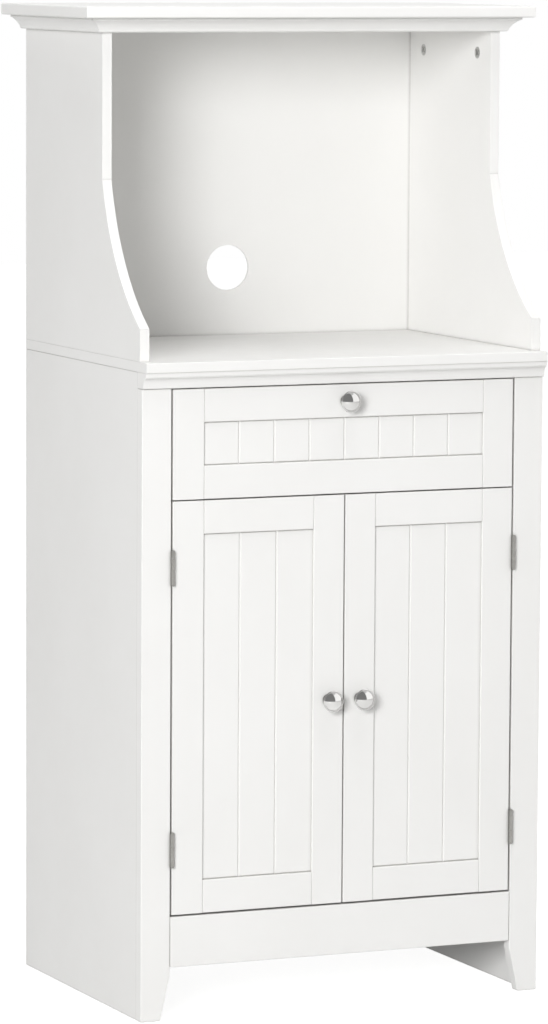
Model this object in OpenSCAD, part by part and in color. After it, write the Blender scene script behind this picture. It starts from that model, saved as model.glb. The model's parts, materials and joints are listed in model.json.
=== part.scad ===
// Microwave cabinet: a base unit with two doors and a drawer, and an open bay with a
// moulded crown above it. Millimetres, +Z up, front towards -Y, origin on the floor under
// the middle of the overall box. Left means -X, and most right-hand pieces are mirrored.

/* [Overall] */
// Width over the side panels
body_w = 560; // [500:10:700]
// Depth of the lower side panels, behind the front frame
side_d = 390; // [370:5:460]
// Height of the worktop's upper face
counter_h = 840; // [820:5:900]
// Height of the whole cabinet
total_h = 1282; // [1260:2:1400]

/* [Boards] */
// Thickness of the carcass boards
board_t = 13; // [12:0.5:16]
// Thickness of the two back panels
back_t = 3; // [3:0.5:5]
// Distance of the back panels in from the rear edges
back_inset = 19; // [12:1:25]
// Depth of the groove that holds a back panel
back_groove_d = 4; // [3:0.5:5]
// Radius of the eased front edges
ease_r = 1.2; // [0.6:0.1:2]

/* [Front frame] */
// Thickness of the frame, the doors and the drawer front
frame_t = 16; // [15:0.5:20]
// Width of a front stile
stile_w = 40; // [36:1:60]
// Width of a stile at the floor, where it tapers to a foot
foot_w = 27; // [20:1:34]
// Height of the space under the bottom rail
foot_h = 68; // [50:1:90]
// Height of the bottom rail
rail_h = 65; // [50:1:80]
// Gap beside and under the doors and the drawer front
reveal = 2.4; // [2.3:0.1:3.5]
// Gap above the drawer front, under it and between the doors
front_gap = 1.6; // [1.6:0.1:3]

/* [Worktop] */
// Overhang of the worktop in front of the stiles
counter_overhang = 14; // [13:1:24]
// Height of the moulding under the worktop
counter_mould_h = 20.5; // [18:0.5:26]
// How far the moulding's top stands ahead of the stiles
counter_mould_d = 12.5; // [9:0.5:12.5]

/* [Open bay] */
// Depth of the upper side panels at the top
upper_top_d = 270; // [240:5:320]
// Depth of the upper side panels on the worktop
upper_bottom_d = 398; // [380:1:400]
// Height of the straight front edge above the worktop
upper_straight_h = 41; // [30:1:60]
// Height of the hollow curve above that edge
upper_curve_h = 181; // [150:1:220]
// Radius of the hollow curve
upper_curve_r = 302; // [240:2:600]
// Diameter of the cable hole
cable_d = 60; // [40:5:80]
// Height of the cable hole's centre above the worktop
cable_h = 90; // [70:5:150]

/* [Crown] */
// Thickness of the crown board
crown_t = 15; // [13:0.5:18]
// Overhang of the crown board at the front and the sides
crown_overhang = 35; // [30:1:45]
// Height of the crown moulding
crown_mould_h = 18.5; // [17:0.5:24]
// How far the crown moulding stands out
crown_mould_d = 22; // [18:0.5:28]

/* [Doors and drawer front] */
// Height of the drawer front
drawer_front_h = 140; // [130:2:180]
// Width of the stiles and rails of the doors and the drawer front
member_w = 42.5; // [36:0.5:50]
// Depth of the panels behind the face of their frame
recess = 3; // [2.5:0.5:5]
// Thickness of the grooved panels
panel_t = 6; // [5:0.5:6.5]
// Depth of the groove that holds a panel
panel_groove_d = 8; // [6:0.5:10]
// Width of the V grooves in the panels
vee_w = 3; // [1.6:0.2:3.4]
// Boards shown in each door panel
door_boards = 3; // [2:1:5]
// Boards shown in the drawer panel
drawer_boards = 8; // [4:1:12]

/* [Drawer box] */
// Depth of the drawer box behind its front
drawer_d = 330; // [310:5:335]
// Height of the drawer box
drawer_side_h = 90; // [70:2:96]
// Thickness of the drawer box's sides, front and back
drawer_t = 12; // [10:0.5:15]
// Thickness of the drawer bottom
drawer_bottom_t = 3; // [3:0.5:5]
// Gap between the divider and the drawer box
drawer_lift = 9; // [6:1:12]

/* [Drawer tracks] */
// Thickness of a closed track
track_t = 12.7; // [12:0.1:13.5]
// Height of the outer track
track_h = 35; // [32:1:40]
// Length of the tracks
track_l = 300; // [280:5:305]
// Travel of the drawer
drawer_travel = 225; // [180:5:225]
// Thickness of the track steel
track_steel = 1.2; // [1:0.1:1.4]
// Diameter of the bearing balls
ball_d = 5; // [4.5:0.1:5.5]
// Balls in each row of a cage
cage_balls = 3; // [2:1:4]

/* [Shelf] */
// Height of the shelf's underside above the cabinet floor
shelf_h = 256; // [224:32:320]
// Distance of the shelf's front edge behind the front frame
shelf_set_back = 24; // [16:2:60]
// Diameter of the shelf pins
shelf_pin_d = 5; // [5:0.5:7]
// Pin positions in each row
shelf_rows = 5; // [3:2:7]

/* [Hardware] */
// Diameter of a knob
knob_d = 28; // [24:1:34]
// How far a knob stands out
knob_proj = 26; // [24:0.5:32]
// Height of the door knobs above the floor
door_knob_h = 400; // [300:10:500]
// Height of a hinge
hinge_h = 43; // [40:1:60]
// Distance of a hinge's middle from the end of the door
hinge_inset = 84; // [60:1:110]
// Diameter of a hinge knuckle
knuckle_d = 5.5; // [5:0.1:6.5]
// Diameter of a hinge pin
pin_d = 2.8; // [2.4:0.1:3]
// Thickness of a hinge leaf
leaf_t = 1; // [0.8:0.05:1]
// Width of a hinge leaf along the edge of the door
leaf_w = 12; // [10:0.5:13]
// Diameter of a cam lock
cam_d = 15; // [12:0.5:15]
// Depth of a cam lock
cam_h = 10.5; // [9:0.1:10.5]
// Distance of a cam's centre from the joint that it pulls together
cam_set = 34; // [24:1:36]
// Diameter of a wooden dowel
dowel_d = 6; // [5:1:8]

/* [Hidden] */
$fn = 64;

// Colours
board_colour = "#F3F3F0";
inner_colour = "#ECECE8";
back_colour = "#E9E9E4";
steel_colour = "#9FA1A2";
chrome_colour = "#C9CBCC";
cam_colour = "#A9A9A6";
beech_colour = "#D9BE93";
plastic_colour = "#F0F0EC";

// Clearances between pieces that seat in one another, and the fine gap that shows round
// the bottom rail's ends and over the stiles
fit = 0.05;
slip = 0.2;
shelf_slip = 1;
joint_gap = 0.5;

// Planes of the carcass
total_d = side_d + frame_t + knob_proj;
back_y = total_d / 2;
seam_y = back_y - side_d;
face_y = seam_y - frame_t;
frame_y = face_y + frame_t / 2;
half_w = body_w / 2;
inner_x = half_w - board_t;
open_x = half_w - stile_w;
panel_y = back_y - back_inset - back_t;
counter_z = counter_h - board_t;
crown_z = total_h - crown_t;
ceiling_z = crown_z - board_t;
top_y = back_y - upper_top_d;
foot_y = back_y - upper_bottom_d;

// Heights of the front: the drawer front hangs under the moulding, the doors under it
frame_top_z = counter_z - counter_mould_h;
stile_top_z = frame_top_z - joint_gap;
rail_top_z = foot_h + rail_h;
drawer_top_z = frame_top_z - front_gap;
drawer_z = drawer_top_z - drawer_front_h;
door_top_z = drawer_z - front_gap;
door_z = rail_top_z + reveal;
door_h = door_top_z - door_z;
floor_z = rail_top_z - board_t;
divider_z = drawer_z - front_gap / 2 - board_t / 2;
divider_top_z = divider_z + board_t;
divider_set_back = 2;

// Hollow curve: the circle through the ends of the two straight front edges
curve_low = [foot_y, counter_h + upper_straight_h];
curve_high = [top_y, counter_h + upper_straight_h + upper_curve_h];
chord = curve_high - curve_low;
chord_l = norm(chord);
curve_out = [-chord[1], chord[0]] / chord_l;
curve_centre = (curve_low + curve_high) / 2
    + curve_out * sqrt(upper_curve_r ^ 2 - (chord_l / 2) ^ 2);

// Doors and drawer front, on the left of the middle
door_x0 = -open_x + reveal;
door_x1 = -front_gap / 2;
door_w = door_x1 - door_x0;
drawer_w = 2 * (open_x - reveal);
panel_groove_w = panel_t + slip;
vee_d = vee_w / 2;

// Drawer box between its tracks
box_x = open_x - track_t;
box_z = divider_top_z + drawer_lift;
box_back_y = seam_y + drawer_d;
bottom_groove_z = 10;
bottom_groove_d = drawer_t / 2;
track_z = box_z + drawer_side_h / 2;
track_y = seam_y + 2;
track_block_h = track_h + 10;
track_lip = 3;
rail_gap = 0.15;
outer_track_d = track_t - 2.4;
inner_track_d = track_t - 3.6;
inner_track_h = track_h - 2 * track_steel - 2 * (ball_d + rail_gap);
ball_x = outer_track_d - track_steel - ball_d / 2 - rail_gap;
ball_z = track_h / 2 - track_steel - (ball_d + rail_gap) / 2;
cage_x = 2;
cage_l = track_l - drawer_travel - 5;
cage_y = track_y + drawer_travel / 2 + 2;
cage_steel = 0.8;
cage_reach = 1;

// Shelf
shelf_z = rail_top_z + shelf_h;
shelf_pitch = 32;
shelf_pin_l = 7;
shelf_pin_hole = 10;
shelf_collar_d = shelf_pin_d + 3;
shelf_front_row = seam_y + 60;
shelf_back_row = panel_y - 50;

// Hinges: the barrel stands in front of the gap
hinge_x = -open_x + reveal / 2;
hinge_y = face_y - knuckle_d / 2 - 0.45;
hinge_heights = [door_z + hinge_inset, door_top_z - hinge_inset];
knuckles = 5;
knuckle_gap = 0.2;

// Cams and bolts: the head sits in the cam, the thread in the board across the joint
cam_front_in = 41;
cam_back_in = 64;
bolt_d = 6;
bolt_neck_d = 4;
bolt_head_d = 6;
bolt_head_l = 2.6;
bolt_thread = 10;
cam_mid = board_t / 2;
upper_cam_ys = [top_y + cam_front_in, back_y - cam_back_in];
lower_cam_ys = [seam_y + 60, back_y - cam_back_in];
board_cam_ys = [seam_y + 50, panel_y - 50];

// Dowels: their length, and how deep they go into a board's face and into its edge
dowel_l = 30;
side_bite = 10;
edge_bite = 20;
rail_dowel_in = 16;
mid_y = (seam_y + panel_y) / 2;
side_x = half_w - board_t / 2;

// Knob screws and catches
screw_d = 4;
screw_head_d = 8;
screw_head_h = 2.4;
knob_thread = 10;
knob_x = door_x1 - member_w / 2;
drawer_knob_z = drawer_top_z - member_w / 2;
catch_w = 40;
catch_d = 15;
catch_h = 12;
catch_pole_x = 12;
catch_pole_w = 4;
strike_t = 0.8;
strike_gap = 0.3;
catch_x = knob_x;

// ---- Shared shapes ----

// Draws its children, and their mirror image on the right
module both_sides() {
    children();
    mirror([1, 0, 0]) children();
}

// Turns a profile drawn in Y and Z so that it runs along X from x0 to x1
module along_x(x0, x1) {
    translate([x0, 0, 0]) rotate([90, 0, 90]) linear_extrude(x1 - x0) children();
}

// Rectangle whose two corners on its lower-y edge are rounded
module eased_square(x0, x1, y0, y1, r) {
    translate([x0, y0 + r]) square([x1 - x0, y1 - y0 - r]);
    translate([x0 + r, y0]) square([x1 - x0 - 2 * r, y1 - y0]);
    for (x = [x0 + r, x1 - r]) translate([x, y0 + r]) circle(r);
}

// Board lying across the cabinet, with both long front edges eased
module cross_board(half_l, y0, y1, z0, t, r = ease_r) {
    along_x(-half_l, half_l) {
        translate([y0 + r, z0]) square([y1 - y0 - r, t]);
        translate([y0, z0 + r]) square([r, t - 2 * r]);
        for (z = [z0 + r, z0 + t - r]) translate([y0 + r, z]) circle(r);
    }
}

// ---- Fasteners, also used with a growth as the holes that they sit in ----

// Bolt from the cam's centre towards +X: head, neck, shank and thread
module bolt(reach, grow) {
    shank_x = cam_d / 2 + 0.5;
    rotate([0, 90, 0]) {
        translate([0, 0, -bolt_head_l / 2 - grow])
            cylinder(d = bolt_head_d + 2 * grow, h = bolt_head_l + 2 * grow);
        cylinder(d = bolt_neck_d + 2 * grow, h = shank_x + 1);
        translate([0, 0, shank_x - grow])
            cylinder(d = bolt_d + 2 * grow, h = reach - shank_x + 2 * grow);
    }
}

// Cam lock with its face at z = 0, a cross slot in it and a cavity open towards +X
module cam() {
    cavity = bolt_head_d + 1;
    difference() {
        cylinder(d = cam_d, h = cam_h);
        translate([-bolt_head_l, -cavity / 2, cam_mid - cavity / 2])
            cube([cam_d, cavity, cavity]);
        rotate([0, 0, 45]) cross_slot(cam_d * 2 / 3, 1.6, 1.5);
    }
}

// Cross-shaped slot cut in from z = 0
module cross_slot(l, w, d) {
    for (a = [0, 90]) rotate([0, 0, a])
        translate([-l / 2, -w / 2, -1]) cube([l, w, d + 1]);
}

// Places its children at the cams of the left side, with +X towards the joint
module at_upper_cams() {
    for (y = upper_cam_ys)
        translate([-inner_x, y, ceiling_z - cam_set]) rotate([0, -90, 0]) children();
}

module at_counter_cams() {
    for (y = lower_cam_ys)
        translate([-inner_x, y, counter_z - cam_set]) rotate([0, -90, 0]) children();
}

module at_board_cams() {
    for (y = board_cam_ys, z = [floor_z, divider_z])
        translate([-inner_x + cam_set, y, z]) rotate([0, 0, 180]) children();
}

// Pocket for a cam, open at its face
module cam_pocket() {
    translate([0, 0, -1]) cylinder(d = cam_d + 2 * fit, h = cam_h + fit + 1);
}

// Every cam as a solid, and every pocket
module all_cams() {
    both_sides() {
        at_upper_cams() cam();
        at_counter_cams() cam();
        at_board_cams() cam();
    }
}

module cam_pockets() {
    both_sides() {
        at_upper_cams() cam_pocket();
        at_counter_cams() cam_pocket();
        at_board_cams() cam_pocket();
    }
}

// Every bolt. The worktop's bolts run on through it into the upper sides
module all_bolts(grow) {
    both_sides() {
        at_upper_cams() translate([0, 0, cam_mid]) bolt(cam_set + bolt_thread, grow);
        at_counter_cams() translate([0, 0, cam_mid])
            bolt(cam_set + board_t + bolt_thread, grow);
        at_board_cams() translate([0, 0, cam_mid]) bolt(cam_set + bolt_thread, grow);
    }
}

// Every dowel, longer and wider by the growth when it is used as a hole
module all_dowels(grow) {
    both_sides() {
        for (z = [foot_h + rail_dowel_in, rail_top_z - rail_dowel_in])
            dowel_x(-open_x - dowel_l / 2, frame_y, z, dowel_l, grow);
        for (z = [floor_z, divider_z])
            dowel_x(-inner_x - side_bite, mid_y, z + board_t / 2, dowel_l, grow);
        dowel_z(-side_x, mid_y, counter_z - edge_bite, edge_bite + board_t + side_bite, grow);
        dowel_z(-side_x, (top_y + back_y) / 2, ceiling_z - edge_bite,
            edge_bite + side_bite, grow);
    }
}

module dowel_x(x, y, z, l, grow) {
    translate([x - grow, y, z]) rotate([0, 90, 0])
        cylinder(d = dowel_d + 2 * grow, h = l + 2 * grow);
}

module dowel_z(x, y, z, l, grow) {
    translate([x, y, z - grow]) cylinder(d = dowel_d + 2 * grow, h = l + 2 * grow);
}

// Holes for everything that joins the carcass boards
module joint_holes() {
    cam_pockets();
    all_bolts(fit);
    all_dowels(fit);
}

// ---- Carcass ----

// Space of the lower back panel, and of the groove round it when it is grown
module lower_back(grow) {
    w = inner_x + back_groove_d - slip + grow;
    translate([-w, panel_y - grow / 4, floor_z])
        cube([2 * w, back_t + grow / 2, counter_z + back_groove_d - slip + grow - floor_z]);
}

module upper_back(grow) {
    w = inner_x + back_groove_d - slip + grow;
    z0 = counter_h - back_groove_d + slip - grow;
    z1 = ceiling_z + back_groove_d - slip + grow;
    translate([-w, panel_y - grow / 4, z0]) cube([2 * w, back_t + grow / 2, z1 - z0]);
}

// Rows of holes for the shelf pins, and the pins
module at_shelf_holes() {
    for (y = [shelf_front_row, shelf_back_row], n = [0 : shelf_rows - 1])
        translate([-inner_x, y, shelf_pin_z(n - (shelf_rows - 1) / 2)])
            rotate([0, -90, 0]) children();
}

function shelf_pin_z(n) = shelf_z - shelf_pin_d / 2 + n * shelf_pitch;

module left_side_panel() {
    color(board_colour)
    difference() {
        translate([-half_w, seam_y, 0]) cube([board_t, side_d, counter_z]);
        lower_back(slip);
        joint_holes();
        at_shelf_holes() translate([0, 0, -1])
            cylinder(d = shelf_pin_d + 2 * fit, h = shelf_pin_hole + 1);
    }
}

// The stile keeps its width for a short way under the rail and then tapers to its foot
module left_front_stile() {
    shoulder = 10;
    color(board_colour)
    difference() {
        intersection() {
            linear_extrude(stile_top_z)
                eased_square(-half_w, -open_x, face_y, seam_y, ease_r);
            translate([0, seam_y, 0]) rotate([90, 0, 0]) linear_extrude(frame_t)
                polygon([
                    [-half_w, 0], [-half_w + foot_w, 0], [-open_x, foot_h - shoulder],
                    [-open_x, stile_top_z], [-half_w, stile_top_z]
                ]);
        }
        joint_holes();
    }
}

// Rail eased all round its face, just clear of the stiles
module bottom_rail() {
    x1 = open_x - joint_gap;
    color(board_colour)
    difference() {
        intersection() {
            cross_board(x1, face_y, seam_y, foot_h, rail_h);
            linear_extrude(rail_top_z + 1) eased_square(-x1, x1, face_y, seam_y + 1, ease_r);
        }
        joint_holes();
    }
}

module cabinet_floor() {
    color(inner_colour)
    difference() {
        cross_board(inner_x, seam_y, panel_y, floor_z, board_t);
        joint_holes();
    }
}

module divider_panel() {
    color(inner_colour)
    difference() {
        cross_board(inner_x, seam_y + divider_set_back, panel_y, divider_z, board_t);
        joint_holes();
    }
}

module adjustable_shelf() {
    color(inner_colour)
    cross_board(inner_x - shelf_slip, seam_y + shelf_set_back, panel_y - shelf_slip,
        shelf_z, board_t);
}

// Each pin has a shank in the side panel, a peg under the shelf and between them a collar,
// thin enough for the gap at the shelf's end
module shelf_pins() {
    collar = shelf_slip - slip;
    color(steel_colour)
    both_sides()
    for (y = [shelf_front_row, shelf_back_row])
        translate([-inner_x, y, shelf_pin_z(0)]) rotate([0, -90, 0]) {
            translate([0, 0, -shelf_pin_l])
                cylinder(d = shelf_pin_d, h = shelf_pin_l + shelf_pin_hole - 1);
            translate([0, 0, -collar]) cylinder(d = shelf_collar_d, h = collar);
        }
}

module lower_back_panel() {
    color(back_colour)
    lower_back(0);
}

module counter_top() {
    color(board_colour)
    difference() {
        cross_board(half_w, face_y - counter_overhang, back_y, counter_z, board_t);
        lower_back(slip);
        upper_back(slip);
        joint_holes();
    }
}

// Profile of the moulding under the worktop: fillet, step, cove and bead
module counter_mould_profile() {
    fillet = 5.5;
    step = 1.5;
    bead = 4;
    bead_out = counter_mould_d * 0.35;
    cove_top = counter_z - fillet - step;
    cove_low = frame_top_z + bead;
    cove_out = counter_mould_d - step;
    y = face_y;
    difference() {
        polygon([
            [seam_y, frame_top_z], [y - bead_out + 1, frame_top_z],
            [y - bead_out, frame_top_z + 1], [y - bead_out, cove_low],
            [y - cove_out, cove_top], [y - cove_out, counter_z - fillet],
            [y - counter_mould_d, counter_z - fillet], [y - counter_mould_d, counter_z],
            [seam_y, counter_z]
        ]);
        translate([y - cove_out, cove_low])
            scale([(cove_out - bead_out) / (cove_top - cove_low), 1])
                circle(cove_top - cove_low);
    }
}

module counter_moulding() {
    color(board_colour)
    along_x(-half_w, half_w) counter_mould_profile();
}

module left_upper_side() {
    color(board_colour)
    difference() {
        along_x(-half_w, -inner_x) difference() {
            polygon([
                [back_y, counter_h], curve_low - [0, upper_straight_h], curve_low,
                [foot_y, curve_high[1]], curve_high, [top_y, ceiling_z], [back_y, ceiling_z]
            ]);
            intersection() {
                translate(curve_centre) circle(upper_curve_r, $fn = 200);
                translate([foot_y - 1, curve_low[1]])
                    square([top_y - foot_y + 2, upper_curve_h + 1]);
            }
        }
        upper_back(slip);
        joint_holes();
    }
}

module upper_back_panel() {
    color(back_colour)
    difference() {
        upper_back(0);
        translate([0, panel_y - 1, counter_h + cable_h]) rotate([-90, 0, 0])
            cylinder(d = cable_d, h = back_t + 2);
    }
}

module ceiling_board() {
    color(board_colour)
    difference() {
        translate([-half_w, top_y, ceiling_z]) cube([body_w, upper_top_d, board_t]);
        upper_back(slip);
        joint_holes();
    }
}

// Crown board, eased along its front and side edges
module crown_board() {
    y0 = top_y - crown_overhang;
    x1 = half_w + crown_overhang;
    r = 2 * ease_r;
    color(board_colour)
    intersection() {
        cross_board(x1, y0, back_y, crown_z, crown_t, r);
        translate([0, back_y + 1, 0]) rotate([90, 0, 0])
            linear_extrude(back_y - y0 + 2) rounded_slab(x1, crown_z, crown_t, r);
    }
}

// Slab seen end on, with all four corners rounded
module rounded_slab(half_l, z0, t, r) {
    translate([-half_l + r, z0]) square([2 * (half_l - r), t]);
    translate([-half_l, z0 + r]) square([2 * half_l, t - 2 * r]);
    for (x = [-half_l + r, half_l - r], z = [z0 + r, z0 + t - r])
        translate([x, z]) circle(r);
}

// Crown moulding profile: out from the side panel in x, down from the crown board in y.
// A fillet, a step in, a slope with a slight hollow and a round bead
module crown_mould_profile() {
    fillet = 3;
    step = 1;
    hollow = 1.2;
    bead_r = 4;
    bead_out = 5;
    slope_top = [crown_mould_d - step, -fillet];
    slope_low = [bead_out + bead_r, bead_r - crown_mould_h];
    slope = slope_top - slope_low;
    slope_l = norm(slope);
    hollow_r = slope_l ^ 2 / (8 * hollow) + hollow / 2;
    outward = [slope[1], -slope[0]] / slope_l;
    difference() {
        polygon([
            [0, 0], [crown_mould_d, 0], [crown_mould_d, -fillet], slope_top, slope_low,
            [slope_low[0], -crown_mould_h], [0, -crown_mould_h]
        ]);
        intersection() {
            translate((slope_top + slope_low) / 2 + outward * (hollow_r - hollow))
                circle(hollow_r);
            translate(slope_low) square([slope[0] + step, slope[1]]);
        }
        difference() {
            translate([bead_out, -crown_mould_h - 1]) square(bead_r + 1);
            translate([bead_out, slope_low[1]]) circle(bead_r);
        }
    }
}

// The side lengths meet the front length in mitres at the front corners
module front_crown_moulding() {
    reach = half_w + crown_mould_d;
    color(board_colour)
    intersection() {
        translate([0, top_y, crown_z]) rotate([90, 0, -90])
            translate([0, 0, -reach]) linear_extrude(2 * reach) crown_mould_profile();
        translate([0, 0, crown_z - crown_mould_h - 1]) linear_extrude(crown_mould_h + 2)
            polygon([
                [-half_w, top_y], [half_w, top_y],
                [half_w + 2 * crown_mould_d, top_y - 2 * crown_mould_d],
                [-half_w - 2 * crown_mould_d, top_y - 2 * crown_mould_d]
            ]);
    }
}

module left_crown_moulding() {
    color(board_colour)
    intersection() {
        translate([-half_w, top_y - crown_mould_d, crown_z]) rotate([90, 0, 180])
            linear_extrude(upper_top_d + crown_mould_d) crown_mould_profile();
        translate([0, 0, crown_z - crown_mould_h - 1]) linear_extrude(crown_mould_h + 2)
            polygon([
                [-half_w, top_y], [-half_w - 2 * crown_mould_d, top_y - 2 * crown_mould_d],
                [-half_w - 2 * crown_mould_d, back_y], [-half_w, back_y]
            ]);
    }
}

module cam_locks() {
    color(cam_colour)
    all_cams();
}

module cam_bolts() {
    color(steel_colour)
    all_bolts(0);
}

module wood_dowels() {
    color(beech_colour)
    all_dowels(0);
}

// ---- Drawer tracks, drawn on the left: x is measured in from the block's face ----

// Blocks that bring the tracks in line with the inner edges of the stiles
module track_blocks() {
    color(inner_colour)
    both_sides()
    translate([-inner_x, seam_y, track_z - track_block_h / 2])
        cube([inner_x - open_x, drawer_d, track_block_h]);
}

// Channel section with its web at x = 0: half height h, lips of the given depth
module channel(h, depth, steel, lip) {
    translate([0, -h]) square([steel, 2 * h]);
    for (s = [-1, 1]) {
        translate([0, s > 0 ? h - steel : -h]) square([depth, steel]);
        translate([depth - steel, s > 0 ? h - lip : -h]) square([steel, lip]);
    }
}

module run_track(y, l) {
    translate([-open_x, y + l, track_z]) rotate([90, 0, 0]) linear_extrude(l) children();
}

module left_cabinet_track() {
    color(steel_colour)
    run_track(track_y, track_l)
        channel(track_h / 2, outer_track_d, track_steel, track_lip);
}

module left_drawer_track() {
    color(steel_colour)
    run_track(track_y, track_l)
        translate([track_t, 0]) mirror([1, 0])
            channel(inner_track_h / 2, inner_track_d, track_steel, track_steel);
}

// Steel cage that carries two rows of balls between the tracks
module left_ball_cage() {
    pitch = cage_l / cage_balls;
    color(chrome_colour) {
        run_track(cage_y, cage_l) translate([cage_x, 0])
            channel(ball_z + cage_steel / 2, ball_x - cage_x + cage_reach, cage_steel,
                cage_steel);
        for (n = [0 : cage_balls - 1], s = [-1, 1])
            translate([-open_x + ball_x, cage_y + (n + 0.5) * pitch, track_z + s * ball_z])
                sphere(d = ball_d);
    }
}

// ---- Hinges ----

// Knuckles of one leaf: the frame has the odd ones and the door the even ones
module knuckle_run(first, grow) {
    l = hinge_h / knuckles;
    for (n = [first : 2 : knuckles - 1])
        translate([hinge_x, hinge_y, -hinge_h / 2 + n * l + knuckle_gap / 2 - grow])
            cylinder(d = knuckle_d + 2 * grow, h = l - knuckle_gap + 2 * grow);
}

// One leaf, level with its own middle, as a plate along the gap and its knuckles
module leaf(x, first) {
    difference() {
        union() {
            difference() {
                translate([x, hinge_y, -hinge_h / 2])
                    cube([leaf_t, face_y + leaf_w - hinge_y, hinge_h]);
                knuckle_run(1 - first, knuckle_gap);
            }
            knuckle_run(first, 0);
        }
        translate([hinge_x, hinge_y, -hinge_h])
            cylinder(d = pin_d + 2 * fit, h = 2 * hinge_h);
    }
}

module frame_hinge_leaves() {
    color(steel_colour)
    both_sides()
    for (z = hinge_heights) translate([0, 0, z]) leaf(-open_x, 0);
}

module left_door_hinge_leaves() {
    color(steel_colour)
    for (z = hinge_heights) translate([0, 0, z]) leaf(door_x0 - leaf_t, 1);
}

// Each pin has a flat tip at both ends, just clear of the knuckles
module hinge_pins() {
    tip = 1;
    end = hinge_h / 2 + knuckle_gap / 2;
    color(steel_colour)
    both_sides()
    for (z = hinge_heights) translate([hinge_x, hinge_y, z]) {
        translate([0, 0, -end]) cylinder(d = pin_d, h = 2 * end);
        translate([0, 0, end]) cylinder(d = knuckle_d - 1, h = tip);
        translate([0, 0, -end - tip]) cylinder(d = knuckle_d - 1, h = tip);
    }
}

// ---- Framed fronts: two stiles, two rails with tenons and a grooved panel ----

// Upright member from x0 to x1, grooved in its edge at groove_x
module member_stile(x0, x1, z0, z1, groove_x) {
    translate([0, 0, z0]) linear_extrude(z1 - z0) difference() {
        eased_square(x0, x1, face_y, seam_y, ease_r);
        translate([groove_x - panel_groove_d, face_y + recess - slip / 2])
            square([2 * panel_groove_d, panel_groove_w]);
    }
}

// Level member from x0 to x1 with eased edges, a groove at groove_z and a tenon at each end
module member_rail(x0, x1, z0, z1, groove_z) {
    tenon = panel_groove_d - slip;
    difference() {
        union() {
            intersection() {
                along_x(x0, x1) {
                    translate([face_y + ease_r, z0]) square([frame_t - ease_r, z1 - z0]);
                    translate([face_y, z0 + ease_r]) square([frame_t, z1 - z0 - 2 * ease_r]);
                    for (z = [z0 + ease_r, z1 - ease_r])
                        translate([face_y + ease_r, z]) circle(ease_r);
                }
                translate([0, 0, z0 - 1]) linear_extrude(z1 - z0 + 2)
                    eased_square(x0, x1, face_y, seam_y + 1, ease_r);
            }
            translate([x0 - tenon, face_y + recess, z0])
                cube([x1 - x0 + 2 * tenon, panel_t, z1 - z0]);
        }
        translate([x0 - frame_t, face_y + recess - slip / 2, groove_z - panel_groove_d])
            cube([x1 - x0 + 2 * frame_t, panel_groove_w, 2 * panel_groove_d]);
    }
}

// Panel that shows between x0 and x1 and between z0 and z1. V grooves cut it into boards
// and run along the rails above and below it
module bead_panel(x0, x1, z0, z1, boards) {
    tongue = panel_groove_d - slip;
    pitch = (x1 - x0) / boards;
    y = face_y + recess;
    difference() {
        translate([0, 0, z0 - tongue]) linear_extrude(z1 - z0 + 2 * tongue) difference() {
            translate([x0 - tongue, y]) square([x1 - x0 + 2 * tongue, panel_t]);
            for (n = [1 : boards - 1]) translate([x0 + n * pitch, y]) vee();
        }
        along_x(x0 - frame_t, x1 + frame_t)
            for (z = [z0, z1]) translate([y, z]) vee();
    }
}

// Section that cuts a V groove, about the groove's middle on the face
module vee() {
    polygon([[-vee_w / 2, 0], [0, vee_d], [vee_w / 2, 0], [0, -vee_d]]);
}

// The three modules below draw a front from x0 to x1 and from z0 to z1
module front_stiles(x0, x1, z0, z1) {
    member_stile(x0, x0 + member_w, z0, z1, x0 + member_w);
    member_stile(x1 - member_w, x1, z0, z1, x1 - member_w);
}

module front_rails(x0, x1, z0, z1) {
    a = x0 + member_w;
    b = x1 - member_w;
    member_rail(a, b, z0, z0 + member_w, z0 + member_w);
    member_rail(a, b, z1 - member_w, z1, z1 - member_w);
}

module front_panel(x0, x1, z0, z1, boards) {
    bead_panel(x0 + member_w, x1 - member_w, z0 + member_w, z1 - member_w, boards);
}

// ---- Knobs: turned about their axis, which runs towards -Y ----

// Half section: a foot, a hollow neck, a thin round rim and a shallow dome
module knob_profile() {
    rim = 1.1;
    foot = 1.8;
    head_r = knob_d / 2;
    rim_h = knob_proj - 8.4;
    dome_a = head_r - rim;
    dome_h = knob_proj - rim_h - rim;
    dome_r = (dome_a ^ 2 + dome_h ^ 2) / (2 * dome_h);
    neck_r = head_r * 0.38;
    neck_top = rim_h - 4.5;
    flare_r = head_r * 0.78;
    hollow_h = neck_top - foot;
    hollow_w = hollow_h * 0.62;
    difference() {
        union() {
            square([head_r * 0.55, foot]);
            polygon([
                [0, foot], [head_r * 0.5, foot], [flare_r, neck_top],
                [dome_a, rim_h - rim], [dome_a, rim_h + rim], [0, rim_h + rim]
            ]);
            translate([dome_a, rim_h]) circle(rim);
            intersection() {
                translate([0, knob_proj - dome_r]) circle(dome_r);
                translate([0, rim_h + rim - 0.2]) square([dome_a, dome_h + 1]);
            }
        }
        translate([neck_r + hollow_w, foot + hollow_h / 2])
            scale([hollow_w, hollow_h / 2]) circle(1);
    }
}

module knob_at(x, z) {
    color(chrome_colour)
    translate([x, face_y, z]) rotate([90, 0, 0]) difference() {
        rotate_extrude() knob_profile();
        translate([0, 0, -1]) cylinder(d = screw_d + 2 * fit, h = knob_thread + 1.5);
    }
}

// Screw from behind the member into the knob
module knob_screw(x, z) {
    translate([x, seam_y, z]) rotate([90, 0, 0]) {
        cylinder(d = screw_d, h = frame_t + knob_thread);
        translate([0, 0, -screw_head_h]) difference() {
            cylinder(d = screw_head_d, h = screw_head_h);
            cross_slot(screw_head_d * 0.6, 1, screw_head_h / 2);
        }
    }
}

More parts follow.
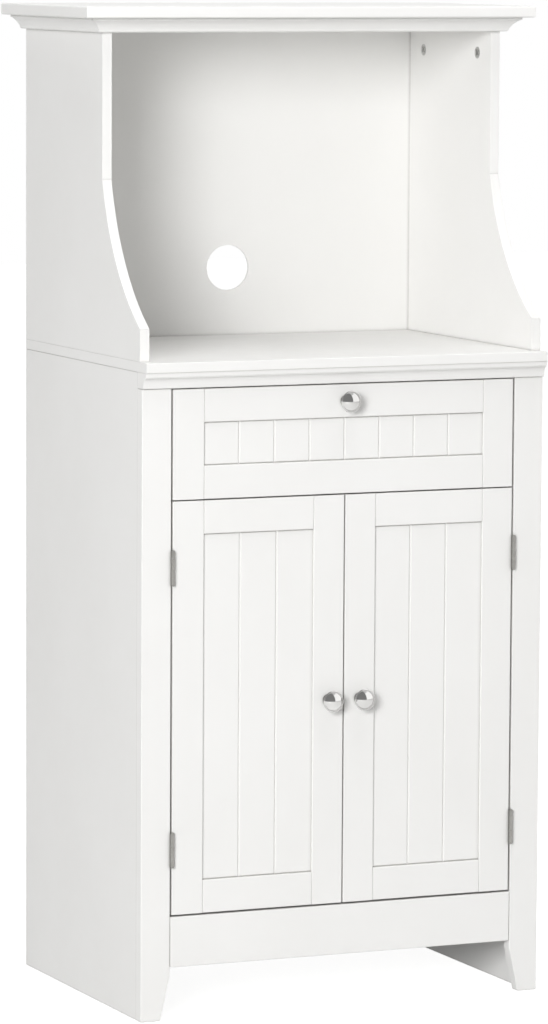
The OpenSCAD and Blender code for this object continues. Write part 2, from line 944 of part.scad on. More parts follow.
module knob_hole(x, z) {
    translate([x, seam_y + 1, z]) rotate([90, 0, 0])
        cylinder(d = screw_d + 2 * fit, h = frame_t + 2);
}

// ---- Drawer ----

module drawer_stiles() {
    color(board_colour)
    front_stiles(-drawer_w / 2, drawer_w / 2, drawer_z, drawer_top_z);
}

module drawer_rails() {
    color(board_colour)
    difference() {
        front_rails(-drawer_w / 2, drawer_w / 2, drawer_z, drawer_top_z);
        knob_hole(0, drawer_knob_z);
    }
}

module drawer_bead_panel() {
    color(board_colour)
    front_panel(-drawer_w / 2, drawer_w / 2, drawer_z, drawer_top_z, drawer_boards);
}

// Space of the drawer bottom, and of its grooves when it is grown
module drawer_floor(grow) {
    w = box_x - drawer_t + bottom_groove_d - slip + grow;
    y0 = seam_y + drawer_t - bottom_groove_d + slip - grow;
    y1 = box_back_y - drawer_t + bottom_groove_d - slip + grow;
    translate([-w, y0, box_z + bottom_groove_z - grow / 4])
        cube([2 * w, y1 - y0, drawer_bottom_t + grow / 2]);
}

module drawer_box_front() {
    color(inner_colour)
    difference() {
        translate([-box_x + drawer_t, seam_y, box_z])
            cube([2 * (box_x - drawer_t), drawer_t, drawer_side_h]);
        drawer_floor(slip);
    }
}

module drawer_back() {
    color(inner_colour)
    difference() {
        translate([-box_x + drawer_t, box_back_y - drawer_t, box_z])
            cube([2 * (box_x - drawer_t), drawer_t, drawer_side_h]);
        drawer_floor(slip);
    }
}

module drawer_left_side() {
    color(inner_colour)
    difference() {
        translate([-box_x, seam_y, box_z]) cube([drawer_t, drawer_d, drawer_side_h]);
        drawer_floor(slip);
    }
}

module drawer_bottom() {
    color(back_colour)
    drawer_floor(0);
}

module drawer_knob() {
    knob_at(0, drawer_knob_z);
}

module drawer_knob_screw() {
    color(steel_colour)
    knob_screw(0, drawer_knob_z);
}

// ---- Left door ----

module left_door_stiles() {
    color(board_colour)
    difference() {
        front_stiles(door_x0, door_x1, door_z, door_top_z);
        knob_hole(knob_x, door_knob_h);
    }
}

module left_door_rails() {
    color(board_colour)
    front_rails(door_x0, door_x1, door_z, door_top_z);
}

module left_door_panel() {
    color(board_colour)
    front_panel(door_x0, door_x1, door_z, door_top_z, door_boards);
}

module left_door_knob() {
    knob_at(knob_x, door_knob_h);
}

module left_door_knob_screw() {
    color(steel_colour)
    knob_screw(knob_x, door_knob_h);
}

// Plate on the back of the door that the catch holds
module left_door_strike() {
    color(steel_colour)
    translate([catch_x - catch_w / 2, seam_y, divider_z - catch_h])
        cube([catch_w, strike_t, catch_h - 1]);
}

// Magnetic catches under the divider, each with two poles set into its front
module door_catches() {
    y0 = seam_y + strike_t + strike_gap;
    color(plastic_colour)
    both_sides()
    translate([catch_x, y0, divider_z - catch_h]) difference() {
        translate([-catch_w / 2, 0, 0]) cube([catch_w, catch_d, catch_h]);
        for (x = [-catch_pole_x, catch_pole_x])
            translate([x - catch_pole_w / 2, -1, catch_h / 4])
                cube([catch_pole_w, 2, catch_h / 2]);
    }
}

// ---- Nodes ----

left_side_panel();
mirror([1, 0, 0]) left_side_panel();  // right_side_panel
left_front_stile();
mirror([1, 0, 0]) left_front_stile();  // right_front_stile
bottom_rail();
cabinet_floor();
divider_panel();
adjustable_shelf();
shelf_pins();
lower_back_panel();
counter_top();
counter_moulding();
left_upper_side();
mirror([1, 0, 0]) left_upper_side();  // right_upper_side
upper_back_panel();
ceiling_board();
crown_board();
front_crown_moulding();
left_crown_moulding();
mirror([1, 0, 0]) left_crown_moulding();  // right_crown_moulding
cam_locks();
cam_bolts();
wood_dowels();
track_blocks();
left_cabinet_track();
mirror([1, 0, 0]) left_cabinet_track();  // right_cabinet_track
left_ball_cage();
mirror([1, 0, 0]) left_ball_cage();  // right_ball_cage
frame_hinge_leaves();
hinge_pins();
door_catches();
drawer_stiles();
drawer_rails();
drawer_bead_panel();
drawer_box_front();
drawer_left_side();
mirror([1, 0, 0]) drawer_left_side();  // drawer_right_side
drawer_back();
drawer_bottom();
left_drawer_track();
mirror([1, 0, 0]) left_drawer_track();  // right_drawer_track
drawer_knob();
drawer_knob_screw();
left_door_stiles();
left_door_rails();
left_door_panel();
left_door_knob();
left_door_knob_screw();
left_door_hinge_leaves();
left_door_strike();
mirror([1, 0, 0]) left_door_stiles();  // right_door_stiles
mirror([1, 0, 0]) left_door_rails();  // right_door_rails
mirror([1, 0, 0]) left_door_panel();  // right_door_panel
mirror([1, 0, 0]) left_door_knob();  // right_door_knob
mirror([1, 0, 0]) left_door_knob_screw();  // right_door_knob_screw
mirror([1, 0, 0]) left_door_hinge_leaves();  // right_door_hinge_leaves
mirror([1, 0, 0]) left_door_strike();  // right_door_strike
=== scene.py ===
import json
import math

import bmesh
import bpy
from mathutils import Matrix, Vector


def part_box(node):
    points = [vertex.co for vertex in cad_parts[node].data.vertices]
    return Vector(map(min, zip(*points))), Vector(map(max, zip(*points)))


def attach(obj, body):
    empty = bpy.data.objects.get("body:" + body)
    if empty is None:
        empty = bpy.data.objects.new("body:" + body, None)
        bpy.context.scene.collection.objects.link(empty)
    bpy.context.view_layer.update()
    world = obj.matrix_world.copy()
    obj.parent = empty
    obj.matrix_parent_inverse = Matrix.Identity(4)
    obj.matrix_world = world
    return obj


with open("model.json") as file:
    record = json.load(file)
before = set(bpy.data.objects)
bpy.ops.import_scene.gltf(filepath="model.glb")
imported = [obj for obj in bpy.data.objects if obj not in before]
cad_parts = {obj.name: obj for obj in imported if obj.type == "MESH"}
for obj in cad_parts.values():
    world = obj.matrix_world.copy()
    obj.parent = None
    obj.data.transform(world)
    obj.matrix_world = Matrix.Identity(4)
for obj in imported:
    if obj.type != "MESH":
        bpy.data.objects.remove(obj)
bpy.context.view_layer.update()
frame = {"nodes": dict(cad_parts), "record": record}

# Looks of the microwave cabinet. Metres, +Z up, front towards -Y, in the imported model's frame.

NODES = frame["nodes"]
MM = 0.001

# ---- Camera: where the photograph was taken from ----

FRAME_H = 1024
FOCAL_PX = 5236.6
CAMERA_AT = (-2.7558, -6.2353, 1.3789)
CAMERA_TURN = 23.725  # degrees from +Y towards +X
CAMERA_DOWN = 6.343
CAMERA_ROLL = 0.318


def make_camera():
    data = bpy.data.cameras.new("camera")
    data.sensor_fit = "AUTO"
    data.sensor_width = 36.0
    data.lens = FOCAL_PX / FRAME_H * data.sensor_width
    data.clip_start = 0.1
    data.clip_end = 100.0
    turn = math.radians(CAMERA_TURN)
    down = math.radians(CAMERA_DOWN)
    roll = math.radians(CAMERA_ROLL)
    level = Vector((math.sin(turn), math.cos(turn), 0.0))
    right = Vector((math.cos(turn), -math.sin(turn), 0.0))
    up = Vector((0.0, 0.0, 1.0))
    ahead = level * math.cos(down) - up * math.sin(down)
    above = up * math.cos(down) + level * math.sin(down)
    x_axis = right * math.cos(roll) + above * math.sin(roll)
    y_axis = above * math.cos(roll) - right * math.sin(roll)
    turned = Matrix((x_axis, y_axis, -ahead)).transposed().to_4x4()
    camera = bpy.data.objects.new("camera", data)
    camera.matrix_world = Matrix.Translation(CAMERA_AT) @ turned
    bpy.context.scene.collection.objects.link(camera)
    bpy.context.scene.camera = camera


# ---- Material tools ----

CORNER_REACH = 4 * MM  # how far from a joint or groove its shade goes
# colour of the painted shade laid into joints and grooves
CORNER_SHADE_COLOUR = (0.47, 0.46, 0.44)
WORN_EDGE = 0.6 * MM  # how far from an edge of the steel its wear goes

# Width of the painted boards' soft edges, and its profile: 0.5 is round and 0.1 hollow
SOFT_EDGE = (0.5 * MM, 0.5)
HOLLOW_EDGE = (0.8 * MM, 0.1)
HOLLOW_EDGED = ("left_side_panel", "right_side_panel")  # they meet the stiles in a dark line


class Shader:
    """A node material with the object's own coordinates in metres at hand."""

    def __init__(self, name):
        self.material = bpy.data.materials.new(name)
        self.material.use_nodes = True
        self.tree = self.material.node_tree
        self.surface = self.tree.nodes["Principled BSDF"]
        self.place = self.tree.nodes.new("ShaderNodeTexCoord").outputs["Object"]

    def set(self, socket, value):
        self.surface.inputs[socket].default_value = value

    def link(self, out, socket):
        self.tree.links.new(out, self.surface.inputs[socket])

    def stretched(self, scale):
        """The object's coordinates, scaled by three factors."""
        node = self.tree.nodes.new("ShaderNodeMapping")
        node.inputs["Scale"].default_value = scale
        self.tree.links.new(self.place, node.inputs["Vector"])
        return node.outputs["Vector"]

    def noise(self, scale, detail=2.0, rough=0.5, place=None):
        node = self.tree.nodes.new("ShaderNodeTexNoise")
        node.inputs["Scale"].default_value = scale
        node.inputs["Detail"].default_value = detail
        node.inputs["Roughness"].default_value = rough
        self.tree.links.new(place or self.place, node.inputs["Vector"])
        return node.outputs["Fac"]

    def spots(self, scale, place=None):
        node = self.tree.nodes.new("ShaderNodeTexVoronoi")
        node.inputs["Scale"].default_value = scale
        self.tree.links.new(place or self.place, node.inputs["Vector"])
        return node.outputs["Distance"]

    def spread(self, factor, low, high, from_low=0.3, from_high=0.7):
        """A number from low to high as the factor goes between two levels."""
        node = self.tree.nodes.new("ShaderNodeMapRange")
        node.inputs["From Min"].default_value = from_low
        node.inputs["From Max"].default_value = from_high
        node.inputs["To Min"].default_value = low
        node.inputs["To Max"].default_value = high
        self.tree.links.new(factor, node.inputs["Value"])
        return node.outputs["Result"]

    def ramp(self, factor, stops):
        """A colour that follows the factor through (position, colour) stops."""
        node = self.tree.nodes.new("ShaderNodeValToRGB")
        elements = node.color_ramp.elements
        while len(elements) < len(stops):
            elements.new(0.5)
        for element, (position, colour) in zip(elements, stops):
            element.position = position
            element.color = (*colour, 1.0)
        self.tree.links.new(factor, node.inputs["Fac"])
        return node.outputs["Color"]

    def blend(self, factor, under, over):
        """A colour socket with a plain colour laid over it by a factor socket."""
        node = self.tree.nodes.new("ShaderNodeMix")
        node.data_type = "RGBA"
        factor_in, under_in, over_in = node.inputs[0], node.inputs[6], node.inputs[7]
        self.tree.links.new(factor, factor_in)
        self.tree.links.new(under, under_in)
        over_in.default_value = (*over, 1.0)
        return node.outputs[2]

    def times(self, factor, amount):
        """A factor socket times a number."""
        node = self.tree.nodes.new("ShaderNodeMath")
        node.operation = "MULTIPLY"
        self.tree.links.new(factor, node.inputs[0])
        node.inputs[1].default_value = amount
        return node.outputs[0]

    def bump(self, height, strength, depth, below=None):
        """Adds a bump of the given depth in metres, on top of another one if there is one."""
        node = self.tree.nodes.new("ShaderNodeBump")
        node.inputs["Strength"].default_value = strength
        node.inputs["Distance"].default_value = depth
        self.tree.links.new(height, node.inputs["Height"])
        if below is not None:
            self.tree.links.new(below, node.inputs["Normal"])
        self.tree.links.new(node.outputs["Normal"], self.surface.inputs["Normal"])
        return node.outputs["Normal"]

    def edge(self, radius):
        """1 on worn edges and 0 on flats, from how far the rounded normal leaves the face's."""
        bevel = self.tree.nodes.new("ShaderNodeBevel")
        bevel.samples = 4
        bevel.inputs["Radius"].default_value = radius
        flat = self.tree.nodes.new("ShaderNodeNewGeometry")
        dot = self.tree.nodes.new("ShaderNodeVectorMath")
        dot.operation = "DOT_PRODUCT"
        self.tree.links.new(bevel.outputs["Normal"], dot.inputs[0])
        self.tree.links.new(flat.outputs["Normal"], dot.inputs[1])
        return self.spread(dot.outputs["Value"], 1.0, 0.0, 0.75, 0.98)

    def corner_shade(self, reach):
        """0 deep in corners and grooves and 1 on open faces."""
        node = self.tree.nodes.new("ShaderNodeAmbientOcclusion")
        node.samples = 4
        node.inputs["Distance"].default_value = reach
        return node.outputs["AO"]

    def painted_corner_shade(self, colour):
        """Paints shade into a board's colour where boards meet and in the grooves, from how
        closed in each point is.
        """
        shade_amount = self.spread(self.corner_shade(CORNER_REACH), 0.65, 0.0, 0.42, 0.9)
        return self.blend(shade_amount, colour, CORNER_SHADE_COLOUR)


def painted_board():
    """Sprayed satin paint on fibreboard: faint orange peel, and shade in joints and grooves."""
    s = Shader("painted_board")
    cloud = s.noise(5.0, 3.0)
    paint = s.ramp(cloud, [(0.3, (0.855, 0.850, 0.836)), (0.7, (0.880, 0.876, 0.864))])
    # painted shade where boards meet and in the grooves
    paint = s.painted_corner_shade(paint)
    s.link(paint, "Base Color")
    s.link(s.spread(s.noise(60.0, 4.0), 0.36, 0.50), "Roughness")
    s.set("IOR", 1.46)
    peel = s.noise(420.0, 2.0)
    waves = s.noise(35.0, 2.0)
    low = s.bump(waves, 0.25, 0.0006)
    s.bump(peel, 0.22, 0.00012, low)
    return s.material


def laminated_board():
    """White laminate on particle board: flatter and a little duller than the paint."""
    s = Shader("laminated_board")
    cloud = s.noise(7.0, 2.0)
    skin = s.ramp(cloud, [(0.3, (0.825, 0.820, 0.803)), (0.7, (0.850, 0.846, 0.832))])
    specks = s.spread(s.spots(260.0), 0.12, 0.0, 0.05, 0.16)
    skin = s.blend(specks, skin, (0.66, 0.65, 0.63))
    # painted shade in the joints and grooves over the laminate's colour
    s.link(s.painted_corner_shade(skin), "Base Color")
    s.link(s.spread(s.noise(90.0, 4.0), 0.48, 0.62), "Roughness")
    grain = s.noise(700.0, 3.0, 0.6)
    s.bump(grain, 0.3, 0.00008)
    return s.material


def back_board():
    """Thin hardboard with a printed white face and a fine pebble from the press."""
    s = Shader("back_board")
    cloud = s.noise(4.0, 3.0)
    face = s.ramp(cloud, [(0.3, (0.842, 0.838, 0.822)), (0.7, (0.868, 0.864, 0.850))])
    # painted shade in the joints and grooves over the printed face
    s.link(s.painted_corner_shade(face), "Base Color")
    s.link(s.spread(s.noise(120.0, 3.0), 0.42, 0.58), "Roughness")
    waves = s.noise(9.0, 2.0)
    pebble = s.spots(520.0)
    low = s.bump(waves, 0.35, 0.0015)
    s.bump(pebble, 0.25, 0.0001, low)
    return s.material


def polished_knob():
    """Polished nickel plate: almost clean, with hairlines and faint finger marks."""
    s = Shader("polished_knob")
    s.set("Metallic", 1.0)
    tone = s.ramp(s.noise(40.0, 2.0), [(0.3, (0.48, 0.476, 0.468)), (0.7, (0.54, 0.536, 0.528))])
    s.link(tone, "Base Color")
    marks = s.noise(180.0, 4.0, 0.65)
    s.link(s.spread(marks, 0.03, 0.09, 0.35, 0.75), "Roughness")
    hairs = s.noise(900.0, 2.0, 0.5, s.stretched((1.0, 1.0, 6.0)))
    s.bump(hairs, 0.05, 0.00003)
    return s.material


def plated_steel(name, tone, rough_low, rough_high, stretch):
    """Zinc or nickel plated steel with drawn hairlines and a little cloudy tarnish."""
    s = Shader(name)
    s.set("Metallic", 1.0)
    dark = tuple(c * 0.82 for c in tone)
    cloud = s.noise(55.0, 4.0, 0.6)
    metal = s.ramp(cloud, [(0.3, dark), (0.65, tone)])
    worn = s.edge(WORN_EDGE)
    bright = tuple(min(1.0, c * 1.25) for c in tone)
    metal = s.blend(s.times(worn, 0.6), metal, bright)
    s.link(metal, "Base Color")
    lines = s.noise(240.0, 3.0, 0.6, s.stretched(stretch))
    s.link(s.spread(lines, rough_low, rough_high), "Roughness")
    s.bump(lines, 0.2, 0.00004)
    return s.material


def zinc_cam():
    """Die-cast zinc, grey and grainy from the mould."""
    s = Shader("zinc_cam")
    s.set("Metallic", 1.0)
    tone = s.ramp(s.noise(150.0, 4.0), [(0.3, (0.56, 0.56, 0.55)), (0.7, (0.74, 0.74, 0.73))])
    s.link(tone, "Base Color")
    s.link(s.spread(s.noise(300.0, 2.0), 0.42, 0.6), "Roughness")
    s.bump(s.noise(900.0, 3.0), 0.35, 0.0001)
    return s.material


def beech_dowel():
    """Bare beech: straight grain along the dowel with short dark rays."""
    s = Shader("beech_dowel")
    grain = s.noise(160.0, 4.0, 0.6, s.stretched((0.15, 1.0, 1.0)))
    wood = s.ramp(grain, [(0.3, (0.50, 0.33, 0.18)), (0.7, (0.66, 0.47, 0.28))])
    rays = s.spread(s.spots(700.0, s.stretched((0.2, 1.0, 1.0))), 0.5, 0.0, 0.05, 0.25)
    wood = s.blend(rays, wood, (0.36, 0.22, 0.12))
    s.link(wood, "Base Color")
    s.set("Roughness", 0.72)
    s.bump(grain, 0.4, 0.0002)
    return s.material


def catch_plastic():
    """Moulded white plastic with the fine texture of its mould."""
    s = Shader("catch_plastic")
    tone = s.ramp(s.noise(30.0, 2.0), [(0.3, (0.80, 0.795, 0.775)), (0.7, (0.84, 0.835, 0.82))])
    s.link(tone, "Base Color")
    s.link(s.spread(s.noise(200.0, 2.0), 0.38, 0.5), "Roughness")
    s.bump(s.noise(1400.0, 2.0), 0.3, 0.00005)
    return s.material


def make_materials():
    return {
        "painted_board": painted_board(),
        "laminated_board": laminated_board(),
        "back_board": back_board(),
        "polished_knob": polished_knob(),
        "plated_steel": plated_steel("plated_steel", (0.60, 0.60, 0.59), 0.22, 0.4,
                                     (1.0, 1.0, 1.0)),
        "track_steel": plated_steel("track_steel", (0.58, 0.59, 0.60), 0.25, 0.42,
                                    (1.0, 0.05, 1.0)),
        "hinge_steel": plated_steel("hinge_steel", (0.31, 0.305, 0.29), 0.22, 0.38,
                                    (1.0, 1.0, 0.2)),
        "zinc_cam": zinc_cam(),
        "beech_dowel": beech_dowel(),
        "catch_plastic": catch_plastic(),
    }


def dress_nodes(materials):
    """Gives every CAD node the material that its slot names, and painted boards soft edges."""
    for part in frame["record"]["subparts"]:
        node = NODES[part["node"]]
        for slot in node.material_slots:
            slot.link = "OBJECT"
            slot.material = materials[part["material_slot"]]
        if part["material_slot"] == "painted_board":
            edge = HOLLOW_EDGE if part["node"] in HOLLOW_EDGED else SOFT_EDGE
            soften_edges(node, *edge)


def soften_edges(node, width, profile):
    """Eases a board's sharp edges, so that joints between boards show as fine lines."""
    weld = node.modifiers.new("weld", "WELD")
    weld.merge_threshold = 0.002 * MM
    flats = node.modifiers.new("flats", "DECIMATE")
    flats.decimate_type = "DISSOLVE"
    flats.angle_limit = math.radians(0.2)
    bevel = node.modifiers.new("soft_edges", "BEVEL")
    bevel.width = width
    bevel.segments = 2
    bevel.profile = profile
    bevel.limit_method = "ANGLE"
    bevel.angle_limit = math.radians(40.0)
    bevel.use_clamp_overlap = False
    normals = node.modifiers.new("flat_normals", "WEIGHTED_NORMAL")
    normals.weight = 100


# ---- Studio ----

WHITE = (1.0, 1.0, 1.0, 1.0)
WORLD_LEVEL = 0.24
FLOOR_HALF = 14.0
FLOOR_BELOW = 0.5 * MM
FLOOR_LIFT = 0.87  # light added to the floor where it is seen, so that it shows white
LAMPS_AIM = (0.0, 0.0, 0.7)
CARD_REACH = 9.5  # farther out than the camera


def seen_directly(tree):
    """1 for camera, glossy and transmission rays, 0 for the light that falls on things."""
    path = tree.nodes.new("ShaderNodeLightPath")
    total = path.outputs["Is Camera Ray"]
    for name in ("Is Glossy Ray", "Is Transmission Ray"):
        add = tree.nodes.new("ShaderNodeMath")
        add.operation = "ADD"
        add.use_clamp = True
        tree.links.new(total, add.inputs[0])
        tree.links.new(path.outputs[name], add.inputs[1])
        total = add.outputs[0]
    return total


def make_world():
    world = bpy.data.worlds.new("studio")
    world.use_nodes = True
    tree = world.node_tree
    lighting = tree.nodes["Background"]
    lighting.inputs["Color"].default_value = (1.0, 0.995, 0.985, 1.0)
    lighting.inputs["Strength"].default_value = WORLD_LEVEL
    backdrop = tree.nodes.new("ShaderNodeBackground")
    backdrop.inputs["Color"].default_value = WHITE
    backdrop.inputs["Strength"].default_value = 1.0
    mix = tree.nodes.new("ShaderNodeMixShader")
    tree.links.new(seen_directly(tree), mix.inputs[0])
    tree.links.new(lighting.outputs[0], mix.inputs[1])
    tree.links.new(backdrop.outputs[0], mix.inputs[2])
    tree.links.new(mix.outputs[0], tree.nodes["World Output"].inputs["Surface"])
    bpy.context.scene.world = world


def make_floor():
    """Plain pale floor that shows white where it is lit and keeps the cabinet's shadow."""
    half = FLOOR_HALF
    mesh = bpy.data.meshes.new("floor")
    corners = [(-half, -half, 0), (half, -half, 0), (half, half, 0), (-half, half, 0)]
    mesh.from_pydata(corners, [], [(0, 1, 2, 3)])
    floor = bpy.data.objects.new("floor", mesh)
    floor.location.z = -FLOOR_BELOW
    bpy.context.scene.collection.objects.link(floor)
    material = bpy.data.materials.new("floor")
    material.use_nodes = True
    tree = material.node_tree
    surface = tree.nodes["Principled BSDF"]
    surface.inputs["Base Color"].default_value = (0.62, 0.62, 0.615, 1.0)
    surface.inputs["Roughness"].default_value = 0.9
    surface.inputs["Specular IOR Level"].default_value = 0.1
    surface.inputs["Emission Color"].default_value = WHITE
    lift = tree.nodes.new("ShaderNodeMath")
    lift.operation = "MULTIPLY"
    lift.inputs[1].default_value = FLOOR_LIFT
    tree.links.new(seen_directly(tree), lift.inputs[0])
    tree.links.new(lift.outputs[0], surface.inputs["Emission Strength"])
    mesh.materials.append(material)


def lamp_at(turn, rise, distance):
    """A point around the cabinet's middle: turn in degrees from the front, rise above level."""
    a = math.radians(turn)
    e = math.radians(rise)
    way = Vector((math.sin(a) * math.cos(e), -math.cos(a) * math.cos(e), math.sin(e)))
    return Vector(LAMPS_AIM) + way * distance


def make_lamp(name, turn, rise, distance, side, watts):
    """A square soft lamp that faces the cabinet's middle and doesn't show in reflections."""
    data = bpy.data.lights.new(name, "AREA")
    data.shape = "RECTANGLE"
    data.size = side
    data.size_y = side
    data.energy = watts
    lamp = bpy.data.objects.new(name, data)
    lamp.location = lamp_at(turn, rise, distance)
    lamp.rotation_mode = "QUATERNION"
    lamp.rotation_quaternion = (Vector(LAMPS_AIM) - lamp.location).to_track_quat("-Z", "Y")
    lamp.visible_glossy = False
    bpy.context.scene.collection.objects.link(lamp)


def make_lamps():
    """Two keys from the front left, a broad light above and a weak fill from the right."""
    make_lamp("high_key", -38, 14, 8.4, 2.4, 338.0)
    make_lamp("low_key", -44, 9, 4.2, 1.2, 41.0)
    make_lamp("top_soft", 10, 78, 3.5, 2.4, 61.0)
    make_lamp("right_fill", 60, 20, 4.2, 2.4, 12.0)


def make_card(name, turns, rises, level):
    """A domed card of one brightness around the stage, which only reflections show."""
    steps = 16
    points = []
    for n in range(steps + 1):
        turn = turns[0] + (turns[1] - turns[0]) * n / steps
        for m in range(steps + 1):
            points.append(lamp_at(turn, rises[0] + (rises[1] - rises[0]) * m / steps, CARD_REACH))
    row = steps + 1
    cells = [n * row + m for n in range(steps) for m in range(steps)]
    mesh = bpy.data.meshes.new(name)
    mesh.from_pydata(points, [], [(c, c + row, c + row + 1, c + 1) for c in cells])
    material = bpy.data.materials.new(name)
    material.use_nodes = True
    surface = material.node_tree.nodes["Principled BSDF"]
    surface.inputs["Base Color"].default_value = (0.0, 0.0, 0.0, 1.0)
    surface.inputs["Specular IOR Level"].default_value = 0.0
    surface.inputs["Emission Color"].default_value = WHITE
    surface.inputs["Emission Strength"].default_value = level
    mesh.materials.append(material)
    card = bpy.data.objects.new(name, mesh)
    bpy.context.scene.collection.objects.link(card)
    card.visible_camera = False
    card.visible_diffuse = False
    card.visible_shadow = False


def make_cards():
    """The studio's dark side, behind the camera and on its left, and its bright right side."""
    make_card("dark_card", (-105.0, 15.0), (0.0, 84.0), 0.36)
    make_card("bright_card", (15.0, 110.0), (0.0, 60.0), 1.8)


# ---- Small fasteners ----

TRACK_STEEL = 1.2 * MM
LEAF_T = 1.0 * MM
HINGE_H = 43.0 * MM

# Sides of the screws' round heads, and the radius and height of each kind
HEAD_SIDES = 32
TRACK_HEAD = (3.5 * MM, 1.4 * MM)
CORNER_HEAD = (3.2 * MM, 0.7 * MM)
FRONT_HEAD = (4.0 * MM, 1.8 * MM)
HINGE_HEAD = (2.8 * MM, 0.16 * MM)
CATCH_HEAD = (2.8 * MM, 0.9 * MM)
STRIKE_HEAD = (2.6 * MM, 0.18 * MM)
CROWN_HEAD = (4.0 * MM, 1.2 * MM)


def new_piece(name, body, material, build):
    """Makes a mesh piece from a function that fills a bmesh, riding on a body."""
    grown = bmesh.new()
    build(grown)
    bmesh.ops.recalc_face_normals(grown, faces=grown.faces)
    mesh = bpy.data.meshes.new(name)
    grown.to_mesh(mesh)
    grown.free()
    mesh.materials.append(material)
    piece = bpy.data.objects.new(name, mesh)
    bpy.context.scene.collection.objects.link(piece)
    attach(piece, body)


def ring(bm, radius, z, count):
    step = 2 * math.pi / count
    return [
        bm.verts.new((radius * math.cos(n * step), radius * math.sin(n * step), z))
        for n in range(count)
    ]


def join_rings(bm, low, high):
    count = len(low)
    for n in range(count):
        m = (n + 1) % count
        bm.faces.new((low[n], low[m], high[m], high[n]))


def loop_edges(bm, verts):
    return [bm.edges.new((verts[n], verts[(n + 1) % len(verts)])) for n in range(len(verts))]


def screw_head(bm, place, radius, height):
    """A low round screw head with a cross recess, its seat at z = 0, put where place says."""
    start = len(bm.verts)
    sides = HEAD_SIDES
    profile = [(1.0, 0.0), (1.0, 0.35), (0.96, 0.62), (0.86, 0.86), (0.7, 1.0)]
    rings = [ring(bm, radius * r, height * h, sides) for r, h in profile]
    for low, high in zip(rings, rings[1:]):
        join_rings(bm, low, high)
    bm.faces.new(list(reversed(rings[0])))
    arm = radius * 0.55
    half = radius * 0.13
    outline = []
    for quarter in range(4):
        turn = Matrix.Rotation(quarter * math.pi / 2, 3, "Z")
        for x, y in ((arm, -half), (arm, half), (half, half)):
            outline.append(turn @ Vector((x, y, height)))
    rim = [bm.verts.new(p) for p in outline]
    edges = loop_edges(bm, rim)
    top = [bm.edges.get((rings[-1][n], rings[-1][(n + 1) % sides])) for n in range(sides)]
    bmesh.ops.triangle_fill(bm, use_beauty=True, use_dissolve=False, edges=top + edges)
    depth = height * 0.7
    taper = 0.8
    pit = [bm.verts.new((p.x * taper, p.y * taper, height - depth)) for p in outline]
    join_rings(bm, rim, pit)
    bm.faces.new(pit)
    bm.verts.ensure_lookup_table()
    moved = [bm.verts[i] for i in range(start, len(bm.verts))]
    bmesh.ops.transform(bm, matrix=place, verts=moved)


def facing(at, direction):
    """A transform that puts z = 0 at a point and turns +Z into a direction."""
    turn = Vector(direction).to_track_quat("Z", "Y").to_matrix().to_4x4()
    return Matrix.Translation(Vector(at)) @ turn


def add_screws(name, body, steel, head, spots):
    """One piece holding the heads of the same screws, given as (point, direction)."""

    def build(bm):
        for at, direction in spots:
            screw_head(bm, facing(at, direction), *head)

    new_piece(name, body, steel, build)


def mirrored(spots):
    """The same spots on the right half."""
    return [((-x, y, z), (-dx, dy, dz)) for (x, y, z), (dx, dy, dz) in spots]


def add_track_screws(steel):
    """Screws through the webs of the tracks, into the blocks and into the drawer's sides."""
    lo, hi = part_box("left_cabinet_track")
    web = lo.x + TRACK_STEEL
    mid = (lo.z + hi.z) / 2
    depths = (lo.y + 25 * MM, lo.y + 160 * MM, hi.y - 30 * MM)
    spots = [((web, y, mid), (1, 0, 0)) for y in depths]
    add_screws("left_cabinet_track_screws", "cabinet", steel, TRACK_HEAD, spots)
    add_screws("right_cabinet_track_screws", "cabinet", steel, TRACK_HEAD, mirrored(spots))
    lo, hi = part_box("left_drawer_track")
    web = hi.x - TRACK_STEEL
    depths = (lo.y + 40 * MM, lo.y + 130 * MM, hi.y - 50 * MM)
    spots = [((web, y, mid), (-1, 0, 0)) for y in depths]
    add_screws("drawer_track_screws", "drawer", steel, TRACK_HEAD, spots + mirrored(spots))


def add_drawer_screws(steel):
    """Screws at the corners of the drawer box, and those that hold its front."""
    lo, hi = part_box("drawer_left_side")
    spots = [
        ((lo.x, y, z), (-1, 0, 0))
        for y in (lo.y + 6 * MM, hi.y - 6 * MM)
        for z in (lo.z + 14 * MM, hi.z - 14 * MM)
    ]
    add_screws("drawer_corner_screws", "drawer", steel, CORNER_HEAD, spots + mirrored(spots))
    lo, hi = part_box("drawer_box_front")
    spots = [
        ((x, hi.y, z), (0, 1, 0))
        for x in (lo.x + 50 * MM, hi.x - 50 * MM)
        for z in (lo.z + 28 * MM, hi.z - 22 * MM)
    ]
    add_screws("drawer_front_screws", "drawer", steel, FRONT_HEAD, spots)


def add_hinge_screws(steel):
    """Flat screws in the hinge leaves, low enough for the leaves to close on one another."""
    lo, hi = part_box("frame_hinge_leaves")
    depth = hi.y - 5.5 * MM
    apart = HINGE_H * 0.3
    heights = []
    for middle in (lo.z + HINGE_H / 2, hi.z - HINGE_H / 2):
        heights += [middle - apart, middle + apart]
    frame_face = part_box("left_front_stile")[1].x + LEAF_T
    spots = [((frame_face, depth, z), (1, 0, 0)) for z in heights]
    add_screws("frame_hinge_screws", "cabinet", steel, HINGE_HEAD, spots + mirrored(spots))
    door_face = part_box("left_door_stiles")[0].x - LEAF_T
    spots = [((door_face, depth, z), (-1, 0, 0)) for z in heights]
    add_screws("left_door_hinge_screws", "left_door", steel, HINGE_HEAD, spots)
    add_screws("right_door_hinge_screws", "right_door", steel, HINGE_HEAD, mirrored(spots))


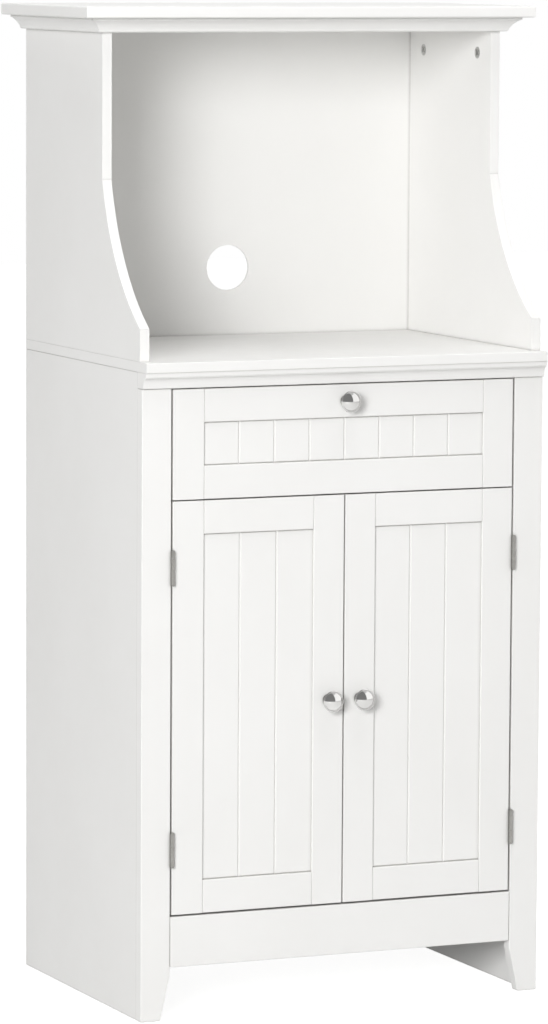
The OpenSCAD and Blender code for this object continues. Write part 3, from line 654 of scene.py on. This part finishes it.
def box_faces(bm, lo, hi):
    """Adds a plain box between two corners."""
    size = [high - low for low, high in zip(lo, hi)]
    middle = [(low + high) / 2 for low, high in zip(lo, hi)]
    place = Matrix.Translation(middle) @ Matrix.Diagonal((*size, 1.0))
    bmesh.ops.create_cube(bm, size=1.0, matrix=place)


def add_catch_parts(steel):
    """Screws under the catches, the pole plates in their fronts and the strikes' screws."""
    lo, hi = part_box("door_catches")
    strike_lo, strike_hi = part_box("left_door_strike")
    middle = (strike_lo.x + strike_hi.x) / 2
    depth = (lo.y + hi.y) / 2 + 2 * MM
    spots = [((middle + x, depth, lo.z), (0, 0, -1)) for x in (-8 * MM, 8 * MM)]
    add_screws("catch_screws", "cabinet", steel, CATCH_HEAD, spots + mirrored(spots))

    def poles(bm):
        half_t = 1.6 * MM
        low = lo.z + 3.4 * MM
        high = hi.z - 3.4 * MM
        for side in (middle, -middle):
            for x in (side - 12 * MM, side + 12 * MM):
                box_faces(bm, (x - half_t, lo.y + 0.2 * MM, low),
                          (x + half_t, lo.y + 0.9 * MM, high))

    new_piece("catch_poles", "cabinet", steel, poles)
    level = (strike_lo.z + strike_hi.z) / 2
    spots = [((middle + x, strike_hi.y, level), (0, 1, 0)) for x in (-6 * MM, 6 * MM)]
    add_screws("left_strike_screws", "left_door", steel, STRIKE_HEAD, spots)
    add_screws("right_strike_screws", "right_door", steel, STRIKE_HEAD, mirrored(spots))


def add_crown_screws(steel):
    """Screws through the ceiling board into the crown board."""
    lo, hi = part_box("ceiling_board")
    spots = [
        ((x, y, lo.z), (0, 0, -1))
        for x in (-200 * MM, 0.0, 200 * MM)
        for y in (lo.y + 45 * MM, hi.y - 70 * MM)
    ]
    add_screws("crown_screws", "cabinet", steel, CROWN_HEAD, spots)


def add_fasteners(steel):
    add_track_screws(steel)
    add_drawer_screws(steel)
    add_hinge_screws(steel)
    add_catch_parts(steel)
    add_crown_screws(steel)


# ---- Scene ----

make_camera()
bpy.context.scene.view_settings.view_transform = "Standard"
MATERIALS = make_materials()
dress_nodes(MATERIALS)
add_fasteners(MATERIALS["plated_steel"])
make_world()
make_floor()
make_lamps()
make_cards()
